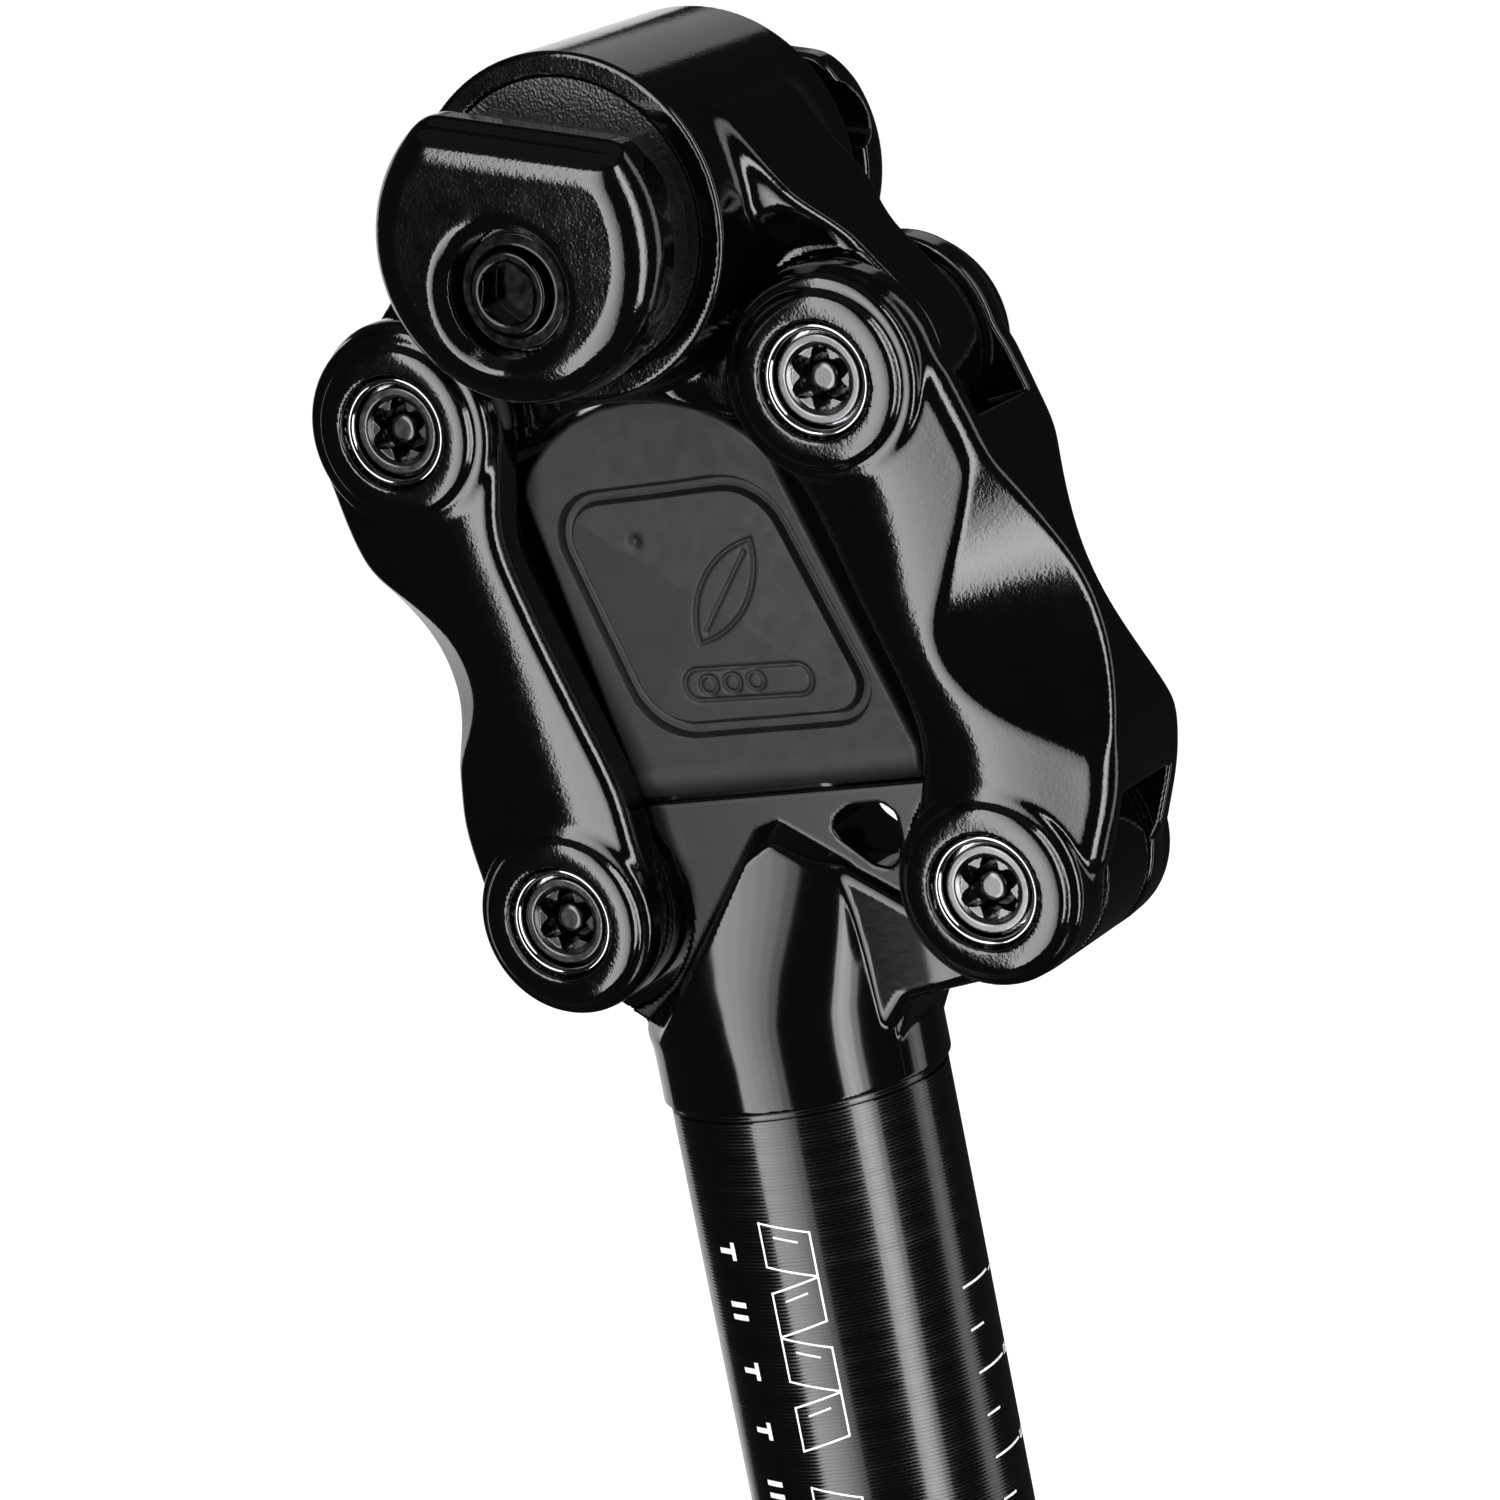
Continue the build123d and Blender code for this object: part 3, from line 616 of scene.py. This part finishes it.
# --------------------------------------------------------------------- materials
class Mat:
    """Small helper for node trees: every map is read from object coordinates."""

    def __init__(self, name, color, rough, metal=0.0, ior=1.5, spec=0.5, coat=0.0, coat_rough=0.03):
        m = bpy.data.materials.new(name)
        m.use_nodes = True
        self.mat, self.t = m, m.node_tree
        self.p = self.t.nodes["Principled BSDF"]
        self.p.inputs["Base Color"].default_value = (*color, 1)
        self.p.inputs["Roughness"].default_value = rough
        self.p.inputs["Metallic"].default_value = metal
        self.p.inputs["IOR"].default_value = ior
        self.p.inputs["Specular IOR Level"].default_value = spec
        self.p.inputs["Coat Weight"].default_value = coat
        self.p.inputs["Coat Roughness"].default_value = coat_rough
        self.co = self.t.nodes.new("ShaderNodeTexCoord").outputs["Object"]
        self.h = None

    def scaled(self, s):
        n = self.t.nodes.new("ShaderNodeMapping")
        n.inputs["Scale"].default_value = s
        self.t.links.new(self.co, n.inputs["Vector"])
        return n.outputs["Vector"]

    def noise(self, scale, detail=3.0, rough=0.55, stretch=None):
        n = self.t.nodes.new("ShaderNodeTexNoise")
        n.inputs["Scale"].default_value = scale
        n.inputs["Detail"].default_value = detail
        n.inputs["Roughness"].default_value = rough
        self.t.links.new(self.scaled(stretch) if stretch else self.co, n.inputs["Vector"])
        return n.outputs["Fac"]

    def ramp(self, src, a, b, lo=0.3, hi=0.7):
        n = self.t.nodes.new("ShaderNodeMapRange")
        n.inputs["From Min"].default_value = lo
        n.inputs["From Max"].default_value = hi
        n.inputs["To Min"].default_value = a
        n.inputs["To Max"].default_value = b
        self.t.links.new(src, n.inputs["Value"])
        return n.outputs["Result"]

    def math(self, op, a, b=None):
        n = self.t.nodes.new("ShaderNodeMath")
        n.operation = op
        for i, v in enumerate((a, b)):
            if v is None:
                continue
            if isinstance(v, (int, float)):
                n.inputs[i].default_value = v
            else:
                self.t.links.new(v, n.inputs[i])
        return n.outputs[0]

    def axis(self, k):
        n = self.t.nodes.new("ShaderNodeSeparateXYZ")
        self.t.links.new(self.co, n.inputs[0])
        return n.outputs[k]

    def rough(self, src):
        self.t.links.new(src, self.p.inputs["Roughness"])

    def color(self, src, a, b):
        n = self.t.nodes.new("ShaderNodeMix")
        n.data_type = "RGBA"
        n.inputs["A"].default_value = (*a, 1)
        n.inputs["B"].default_value = (*b, 1)
        self.t.links.new(src, n.inputs["Factor"])
        self.t.links.new(n.outputs["Result"], self.p.inputs["Base Color"])

    def bump(self, src, dist, strength=1.0):
        n = self.t.nodes.new("ShaderNodeBump")
        n.inputs["Strength"].default_value = strength
        n.inputs["Distance"].default_value = dist
        self.t.links.new(src, n.inputs["Height"])
        if self.h is not None:
            self.t.links.new(self.h, n.inputs["Normal"])
        self.h = n.outputs["Normal"]
        self.t.links.new(self.h, self.p.inputs["Normal"])


def forged():
    m = Mat("forged_black_gloss", (0.0010, 0.0010, 0.0011), 0.08, ior=1.52, spec=0.62)
    m.rough(m.ramp(m.noise(260, 4, 0.6), 0.07, 0.12))
    m.bump(m.noise(420, 2, 0.5), 0.00002, 0.5)
    m.bump(m.noise(1500, 2, 0.6), 0.000016, 0.6)
    m.bump(m.noise(2900, 1, 0.6), 0.000015, 0.7)
    return m.mat


def machined():
    m = Mat("machined_black_anodised", (0.0012, 0.0012, 0.0013), 0.2, ior=1.5, spec=0.55)
    side = m.math("ABSOLUTE", m.axis(1))
    flat = m.math("MULTIPLY", m.math("LESS_THAN", side, 0.00583), m.math("GREATER_THAN", side, 0.00572))
    grain = m.ramp(m.noise(900, 3, 0.6, (1, 1, 6)), 0.0, 0.03)
    m.rough(m.math("ADD", m.math("ADD", m.math("MULTIPLY", flat, 0.18), 0.085), grain))
    m.bump(m.noise(1800, 2, 0.6, (1, 1, 5)), 0.000002, 0.5)
    return m.mat


def turned():
    m = Mat("turned_black_anodised", (0.0012, 0.0012, 0.0013), 0.12, ior=1.52, spec=0.6)
    line = m.t.nodes.new("ShaderNodeTexWave")
    line.wave_type, line.bands_direction, line.wave_profile = "BANDS", "Z", "SIN"
    line.inputs["Scale"].default_value = 2 * math.pi / 20 / 0.00042
    line.inputs["Distortion"].default_value = 0.0
    m.t.links.new(m.co, line.inputs["Vector"])
    fine = m.noise(2200, 2, 0.6, (0.004, 0.004, 1))
    m.bump(line.outputs["Fac"], 0.00003, 0.6)
    m.bump(fine, 0.00001, 0.4)
    ridge = m.math("MULTIPLY", line.outputs["Fac"], m.ramp(m.noise(500, 2, 0.5, (0.01, 0.01, 1)), 0.10, 0.24))
    m.rough(m.math("ADD", ridge, 0.07))
    return m.mat


def rubber():
    m = Mat("moulded_elastomer", (0.03, 0.03, 0.031), 0.5, ior=1.5, spec=0.42)
    m.color(m.ramp(m.noise(240, 4, 0.6), 0, 1), (0.0070, 0.0070, 0.0073), (0.0094, 0.0094, 0.0097))
    m.rough(m.ramp(m.noise(500, 4, 0.6), 0.42, 0.56))
    m.bump(m.noise(3800, 3, 0.6), 0.000012, 0.5)
    m.bump(m.noise(300, 2), 0.00002, 0.3)
    return m.mat


def cast():
    m = Mat("cast_skin_black", (0.004, 0.004, 0.0042), 0.3, ior=1.5, spec=0.6)
    m.rough(m.ramp(m.noise(1500, 3), 0.24, 0.42))
    m.bump(m.noise(2900, 0, 0.5), 0.00008, 1.0)
    return m.mat


def steel(name, color, r0, r1, scale=900, metal=1.0, painted_socket_shade=False):
    m = Mat(name, color, (r0 + r1) / 2, metal=metal)
    m.rough(m.ramp(m.noise(scale, 4, 0.6), r0, r1))
    m.color(m.ramp(m.noise(scale * 0.4, 3), 0, 1), tuple(c * 0.82 for c in color), color)
    m.bump(m.noise(scale * 2, 2, 0.6), 0.0000016, 0.4)
    # painted shade: deeper in the screw socket (smaller |y|) the base colour is mixed toward dark grey, standing in for
    # the shade that falls in the recess
    if painted_socket_shade:
        low = m.ramp(m.math("ABSOLUTE", m.axis(1)), 0.22, 1.0, 0.0092, 0.0115)
        n = m.t.nodes.new("ShaderNodeMix")
        n.data_type = "RGBA"
        n.inputs["A"].default_value = (0.004, 0.004, 0.004, 1)
        src = m.p.inputs["Base Color"].links[0].from_socket
        m.t.links.new(low, n.inputs["Factor"])
        m.t.links.new(src, n.inputs["B"])
        m.t.links.new(n.outputs["Result"], m.p.inputs["Base Color"])
    return m.mat


M_FORGED, M_YOKE, M_TUBE, M_RUBBER, M_CAST = forged(), machined(), turned(), rubber(), cast()
M_SLEEVE = steel("polished_sleeve", (0.34, 0.34, 0.35), 0.05, 0.10)
M_SCREW = steel("screw_steel_satin", (0.16, 0.16, 0.165), 0.16, 0.28, painted_socket_shade=True)
M_SCREW_DARK = steel("screw_steel_dark", (0.10, 0.10, 0.10), 0.18, 0.30, painted_socket_shade=True)
M_BOLT = steel("bolt_black_oxide", (0.035, 0.035, 0.036), 0.10, 0.20)
M_WASHER = steel("washer_steel_dark", (0.20, 0.20, 0.21), 0.2, 0.35)


def liner():
    m = Mat("bearing_liner", (0.05, 0.05, 0.05), 0.45)
    m.rough(m.ramp(m.noise(800, 3), 0.36, 0.52))
    m.bump(m.noise(2500, 3), 0.00001, 0.4)
    return m.mat


def print_white():
    m = Mat("white_print", (0.86, 0.86, 0.86), 0.45)
    m.color(m.ramp(m.noise(3000, 3), 0, 1), (0.78, 0.78, 0.78), (0.9, 0.9, 0.9))
    m.bump(m.noise(3000, 2), 0.000004, 0.4)
    return m.mat


M_LINER, M_PRINT = liner(), print_white()


# ------------------------------------------------------------------ lathed pieces
def mesh_object(name, verts, faces, material, sharp=32):
    me = bpy.data.meshes.new(name)
    me.from_pydata(verts, [], faces)
    me.validate()
    bm = bmesh.new()
    bm.from_mesh(me)
    bmesh.ops.recalc_face_normals(bm, faces=bm.faces)
    bm.to_mesh(me)
    bm.free()
    me.polygons.foreach_set("use_smooth", [True] * len(me.polygons))
    me.set_sharp_from_angle(angle=math.radians(sharp))
    me.materials.append(material)
    ob = bpy.data.objects.new(name, me)
    bpy.context.scene.collection.objects.link(ob)
    return ob


def lathe_z(name, prof, material, seg=256):
    """Closed profile of (r, z) turned about the Z axis, millimetres."""
    verts, faces = [], []
    n = len(prof)
    for i in range(seg):
        a = 2 * math.pi * i / seg
        for r, z in prof:
            verts.append((r * math.cos(a) * MM, r * math.sin(a) * MM, z * MM))
    for i in range(seg):
        j = (i + 1) % seg
        for k in range(n):
            l = (k + 1) % n
            faces.append((i * n + k, j * n + k, j * n + l, i * n + l))
    return mesh_object(name, verts, faces, material)


tube_prof = [(13.3, -275.2), (14.1, -276.0), (15.0, -276.0), (15.8, -275.2), (15.8, -200.0), (15.8, -140.0), (15.8, -80.0),
             (15.8, -30.0), (15.8, -0.95), (15.74, -0.82), (15.35, -0.75), (15.32, -0.12), (15.25, 0.0), (13.3, 0.0), (13.3, -80.0),
             (13.3, -200.0)]
tube = lathe_z("tube_turned", tube_prof, M_TUBE)
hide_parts("post_tube")
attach(tube, "base")


# ------------------------------------------------------------- printed marks
def strokes(name, segs, r=TUBE_R):
    """Printed lines on the tube.  Each is (azimuth mm, z) to (azimuth mm, z) and a width, with azimuth from -Y toward +X."""
    verts, faces = [], []
    for (s0, z0), (s1, z1), wid in segs:
        d = np.array([s1 - s0, z1 - z0], float)
        ln = np.hypot(*d)
        d /= ln
        nrm = np.array([-d[1], d[0]]) * wid / 2
        n = max(1, int(abs(s1 - s0) / 0.6) + 1)
        base = len(verts)
        for i in range(n + 1):
            c = np.array([s0, z0]) + d * ln * i / n
            for e in (nrm, -nrm):
                for rr in (r - 0.02, r + 0.018):
                    q = c + e
                    a = q[0] / r - math.pi / 2
                    verts.append((rr * math.cos(a) * MM, rr * math.sin(a) * MM, q[1] * MM))
        for i in range(n):
            b0, b1 = base + 4 * i, base + 4 * i + 4
            faces += [(b0, b1, b1 + 1, b0 + 1), (b0 + 1, b1 + 1, b1 + 3, b0 + 3), (b0 + 3, b1 + 3, b1 + 2, b0 + 2), (b0 + 2, b1 + 2, b1, b0)]
        faces += [(base, base + 1, base + 3, base + 2), (base + 4 * n, base + 4 * n + 2, base + 4 * n + 3, base + 4 * n + 1)]
    ob = mesh_object(name, verts, faces, M_PRINT)
    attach(ob, "base")
    return ob


deg = math.radians(1) * TUBE_R
SEG = {"0": "abcdef", "1": "bc", "2": "abged", "3": "abgcd", "4": "fgbc", "5": "afgcd", "6": "afgedc", "7": "abc", "8": "abcdefg", "9": "abcfgd"}


def digit(ch, s, z, h=1.7, w=0.9, line=0.24):
    """Seven-stroke figure whose top faces the head, read down the tube."""
    P = {"a": ((0, h), (w, h)), "b": ((w, h), (w, h / 2)), "c": ((w, h / 2), (w, 0)), "d": ((0, 0), (w, 0)),
         "e": ((0, 0), (0, h / 2)), "f": ((0, h / 2), (0, h)), "g": ((0, h / 2), (w, h / 2))}
    return [((s + P[k][0][1], z - P[k][0][0]), (s + P[k][1][1], z - P[k][1][0]), line) for k in SEG[ch]]


ruler = []
for i in range(36):
    z = -25.0 - 5.0 * i
    major = i % 2 == 0
    ruler.append(((80 * deg, z), ((104 if major else 90) * deg, z), 0.28))
    if major:
        for k, ch in enumerate(str(i // 2 + 1)):
            ruler += digit(ch, 107.5 * deg, z + 0.5 - 1.5 * k)
strokes("printed_ruler", ruler)
band = []
zc = -15.6
for i in range(10):
    if i == 4:
        zc -= 4.2
    c = 7 * deg
    hw, hh, sl = 2.55, 2.9, 0.75 if i % 2 else -0.75
    q = [(c - hh, zc + hw - sl), (c + hh, zc + hw + sl), (c + hh, zc - hw + sl), (c - hh, zc - hw - sl)]
    for k in range(4):
        a, b = np.array(q[k]), np.array(q[(k + 1) % 4])
        e = (b - a) / np.hypot(*(b - a)) * 0.11
        band.append((tuple(a - e), tuple(b + e), 0.22))
    q = [(c - hh + 1.5, zc + hw - sl - 1.35 + 0.35 * (1 if sl > 0 else -1)), (c + hh - 1.5, zc + hw + sl - 1.35 - 0.35 * (1 if sl > 0 else -1))]
    band.append((q[0], q[1], 0.22))
    zc -= 6.7
strokes("printed_outline_band", band)
dash = []
for i in range(10):
    z = -15.0 - 7.05 * i
    c = -23.5 * deg
    if i % 3 == 1:
        dash += [((c - 1.3, z), (c + 1.3, z), 0.62), ((c - 1.3, z - 1.5), (c + 1.3, z - 1.5), 0.62)]
    else:
        dash += [((c - 1.3, z - 0.75), (c + 1.3, z - 0.75), 0.62), ((c + 1.0, z + 0.3), (c + 1.0, z - 1.8), 0.62)]
strokes("printed_dash_band", dash)

# ------------------------------------------------------------------- the skins
PIECES = [
    ("front_link_forging", front_field, (13, -13.9, 11.5), (50.2, 13.9, 92), 0.34, M_FORGED, "front_link", "front_link", "forged_black"),
    ("rear_link_forging", rear_field, (-42.2, -13.9, 11.5), (-7.5, 13.9, 92), 0.34, M_FORGED, "rear_link", "rear_link", "forged_black"),
    ("head_forging", head_field, (-39.6, -16.4, 67), (36.2, 16.4, 119.2), 0.38, M_FORGED, "upper_head", "head", "forged_black"),
    ("yoke_machined", yoke_field, (-31.2, -16.7, -37.3), (44.4, 16.7, 34.2), 0.38, M_YOKE, "lower_yoke", "base", "machined_black"),
    ("elastomer_block", rubber_field, (-18.8, -5.95, 33.5), (25.0, 5.95, 79.2), 0.2, M_RUBBER, "elastomer", None, "elastomer"),
    ("outer_clamp_right_disc", outer_clamp_field, (-17.5, -29.8, 82), (17.5, -22.2, 117.2), 0.22, M_FORGED, "outer_clamp_right", "right_jaw", "forged_black"),
    ("outer_clamp_left_disc", outer_clamp_field, (-17.5, 22.2, 82), (17.5, 29.8, 117.2), 0.3, M_FORGED, "outer_clamp_left", "left_jaw", "forged_black"),
    ("clamp_bolt_head", bolt_field, (-8, -28.6, 88), (6, -20.3, 102), 0.11, M_BOLT, "clamp_bolt", "bolt", "bolt_black"),
]
made = {}
for name, field, lo, hi, h, mat, node, body, slot in PIECES:
    ob = skin(name, field, lo, hi, h, mat)
    made[name] = ob
    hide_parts(node)
    if body:
        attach(ob, body)
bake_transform(made["elastomer_block"])


def tilted_cyl(name, material, r, y0, y1, centre=(0.0, -4.8), seg=96):
    """Round bar along Y in the clamp's tilted frame."""
    u, w = centre
    cx, cz = CL[0] + u * cT + w * sT, CL[1] - u * sT + w * cT
    prof = [(0.05, y0), (r - 0.3, y0), (r, y0 + 0.3), (r, y1 - 0.3), (r - 0.3, y1), (0.05, y1)]
    verts, faces = [], []
    n = len(prof)
    for i in range(seg):
        a = 2 * math.pi * i / seg
        for rr, y in prof:
            verts.append(((cx + rr * math.cos(a)) * MM, y * MM, (cz + rr * math.sin(a)) * MM))
    for i in range(seg):
        j = (i + 1) % seg
        for k in range(n - 1):
            faces.append((i * n + k, j * n + k, j * n + k + 1, i * n + k + 1))
    for k in (0, n - 1):
        faces.append(tuple(i * n + k for i in range(seg)))
    return mesh_object(name, verts, faces, material)


shank = tilted_cyl("clamp_bolt_shank", M_BOLT, 3.95, -20.6, 28.05)
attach(shank, "bolt")
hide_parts("clamp_bolt")

for tag, p in (("rear_lower", RL), ("front_lower", FL), ("rear_upper", RU), ("front_upper", FU)):
    h = AXLE_HALF
    half_prof = [(5.32, h - 3.2), (5.32, h - 0.42), (5.40, h - 0.28), (5.62, h - 0.06), (5.72, h), (5.92, h), (6.06, h - 0.07),
                 (6.17, h - 0.22), (6.19, h - 0.45)]
    prof = [(3.0, h - 3.2)] + half_prof + [(6.19, 0.0)] + [(r, -y) for r, y in reversed(half_prof)] + [(3.0, -(h - 3.2))]
    verts, faces = [], []
    n, seg = len(prof), 144
    for i in range(seg):
        a = 2 * math.pi * i / seg
        for r, y in prof:
            verts.append(((p[0] + r * math.cos(a)) * MM, y * MM, (p[1] + r * math.sin(a)) * MM))
    for i in range(seg):
        j = (i + 1) % seg
        for k in range(n):
            m_ = (k + 1) % n
            faces.append((i * n + k, j * n + k, j * n + m_, i * n + m_))
    ob = mesh_object("sleeve_" + tag, verts, faces, M_SLEEVE, 50)
    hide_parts("pivot_axle_" + tag)
    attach(ob, "front_link" if tag.startswith("front") else "rear_link")

SCREW_OUT = 12.35


def screw_field(p, s_):
    """Button screw with a six-lobe socket and a domed security pin low inside it."""
    def f(x, y, z):
        ay = s_ * y
        r = disc2(x, z, p, 0)
        head = rint(r - 4.9, np.abs(ay - SCREW_OUT + 1.3) - 1.3, 0.22)
        shank = rint(r - 2.95, np.abs(ay - SCREW_OUT + 5.1) - 5.1, 0.2)
        d = smin(head, shank, 0.15)
        th = np.arctan2(z - p[1], x - p[0]) - 0.35
        lobe = r - 3.15 - 0.58 * np.cos(6 * th) + 0.12 * np.cos(12 * th)
        sock = np.maximum(lobe * 0.8, SCREW_OUT - 4.2 - ay)
        sock = np.minimum(sock, np.maximum((r - 3.75 - (ay - SCREW_OUT + 0.2) * 1.0) * 0.7, SCREW_OUT - 0.5 - ay))
        d = smax(d, -sock, 0.15)
        pin = rint(r - 1.85, ay - SCREW_OUT + 1.2, 0.8)
        pin = np.maximum(pin, SCREW_OUT - 5.0 - ay)
        return np.minimum(d, pin)
    return f


for tag, p in (("rear_lower", RL), ("front_lower", FL), ("rear_upper", RU), ("front_upper", FU)):
    for s_, side in ((-1, "right"), (1, "left")):
        y0, y1 = sorted((s_ * (SCREW_OUT - 10.4), s_ * (SCREW_OUT + 0.2)))
        ob = skin("screw_%s_%s" % (tag, side), screw_field(p, s_), (p[0] - 5.1, y0, p[1] - 5.1), (p[0] + 5.1, y1, p[1] + 5.1), 0.16 if s_ < 0 else 0.24,
                  M_SCREW if tag.startswith("front") else M_SCREW_DARK)
        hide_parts("pivot_screws_" + tag)
        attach(ob, "front_link" if tag.startswith("front") else "rear_link")

# ------------------------------------------------- finishes of the CAD hardware
for node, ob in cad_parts.items():
    if node.startswith("pivot_axle"):
        mat = M_SLEEVE
    elif node.startswith("pivot_screws"):
        mat = M_SCREW if "front" in node else M_SCREW_DARK
    elif node.startswith("bushings"):
        mat = M_LINER
    elif node.startswith("thrust"):
        mat = M_WASHER
    elif node.startswith("inner_clamp"):
        mat = M_CAST
    elif node.startswith("clamp_"):
        mat = M_BOLT
    else:
        mat = M_FORGED
    for o in (ob if isinstance(ob, (list, tuple)) else [ob]):
        if not o.material_slots:
            o.data.materials.append(mat)
        for s in o.material_slots:
            s.material = mat

# --------------------------------------------------------------- floor and light
scene = bpy.context.scene
floor_me = bpy.data.meshes.new("floor")
floor_me.from_pydata([(-14, -14, -0.2762), (14, -14, -0.2762), (14, 14, -0.2762), (-14, 14, -0.2762)], [], [(0, 1, 2, 3)])
floor = bpy.data.objects.new("floor", floor_me)
scene.collection.objects.link(floor)
fm = Mat("floor_pale", (0.5, 0.5, 0.5), 0.9, spec=0.0)
fm.color(fm.ramp(fm.noise(2), 0, 1), (0.5, 0.5, 0.5), (0.52, 0.52, 0.52))
fm.p.inputs["Emission Color"].default_value = (1, 1, 1, 1)
fm.p.inputs["Emission Strength"].default_value = 1.0
floor_me.materials.append(fm.mat)
floor.visible_glossy = False

AIM = Vector((0.0, 0.0, 0.035))


def panel(name, az, el, dist, w, h, radiance, aim=AIM, glossy=True):
    """Soft box at azimuth az from -Y toward +X, facing the object; radiance is what a mirror would show."""
    a, e = math.radians(az), math.radians(el)
    d = Vector((math.sin(a) * math.cos(e), -math.cos(a) * math.cos(e), math.sin(e)))
    L = bpy.data.lights.new(name, "AREA")
    L.shape, L.size, L.size_y = "RECTANGLE", w, h
    L.energy = radiance * math.pi * w * h
    o = bpy.data.objects.new(name, L)
    o.location = aim + d * dist
    o.rotation_euler = d.to_track_quat("Z", "Y").to_euler()
    o.visible_camera = False
    o.visible_glossy = glossy
    scene.collection.objects.link(o)
    return o


def wide(a0, a1, dist):
    return 2 * dist * math.tan(math.radians((a1 - a0) / 2))


def strip(name, a0, a1, glows, dist=1.3, h=2.6):
    """Upright soft box made of narrow leaves, so that its glow falls off sideways."""
    step = (a1 - a0) / len(glows)
    for k, glow in enumerate(glows):
        panel("%s_%d" % (name, k), a0 + (k + 0.5) * step, 0, dist, wide(0, step, dist), h, glow)


strip("strip_left", -26.3, 11.3, (6.3, 5.8, 5.0, 4.2, 3.2, 1.9))
strip("strip_right", 57, 79, (6.5, 8.0, 7.0, 3.6))
strip("strip_far_right", 115, 133, (1.3, 1.8, 1.3))
panel("top_soft", 20, 80, 1.1, 1.3, 1.0, 0.06)
panel("top_back", 205, 30, 1.3, 0.9, 0.4, 0.5)
panel("back_white", 228, -3, 2.2, 1.7, 1.5, 0.9)
panel("fill_front", 30, 35, 1.8, 0.7, 0.5, 1.6, glossy=False)

world = bpy.data.worlds.new("studio")
scene.world = world
world.use_nodes = True
wt = world.node_tree
bg = wt.nodes["Background"]
bg.inputs["Color"].default_value = (1, 1, 1, 1)
lp = wt.nodes.new("ShaderNodeLightPath")
mr = wt.nodes.new("ShaderNodeMapRange")
mr.inputs["To Min"].default_value = 0.025
mr.inputs["To Max"].default_value = 1.0
wt.links.new(lp.outputs["Is Camera Ray"], mr.inputs["Value"])
wt.links.new(mr.outputs["Result"], bg.inputs["Strength"])
scene.view_settings.view_transform = "Standard"

# ------------------------------------------------------------------------ camera
az, el, roll, dist, fpx = math.radians(29.83), math.radians(10.82), math.radians(-11.25), 664.3, 5998.0
back = Vector((math.sin(az) * math.cos(el), -math.cos(az) * math.cos(el), math.sin(el)))
right = Vector((math.cos(az), math.sin(az), 0.0))
up = back.cross(right)
r2 = math.cos(roll) * right + math.sin(roll) * up
u2 = -math.sin(roll) * right + math.cos(roll) * up
cam_data = bpy.data.cameras.new("camera")
cam_data.sensor_width = 36.0
cam_data.lens = fpx / 1500.0 * 36.0
cam_data.clip_start, cam_data.clip_end = 0.05, 60.0
cam = bpy.data.objects.new("camera", cam_data)
scene.collection.objects.link(cam)
pos = Vector((0.69, 0.0, 37.52)) + back * dist
from mathutils import Matrix
cam.matrix_world = Matrix(((r2.x, u2.x, back.x, pos.x * MM), (r2.y, u2.y, back.y, pos.y * MM),
                           (r2.z, u2.z, back.z, pos.z * MM), (0, 0, 0, 1)))
scene.camera = cam
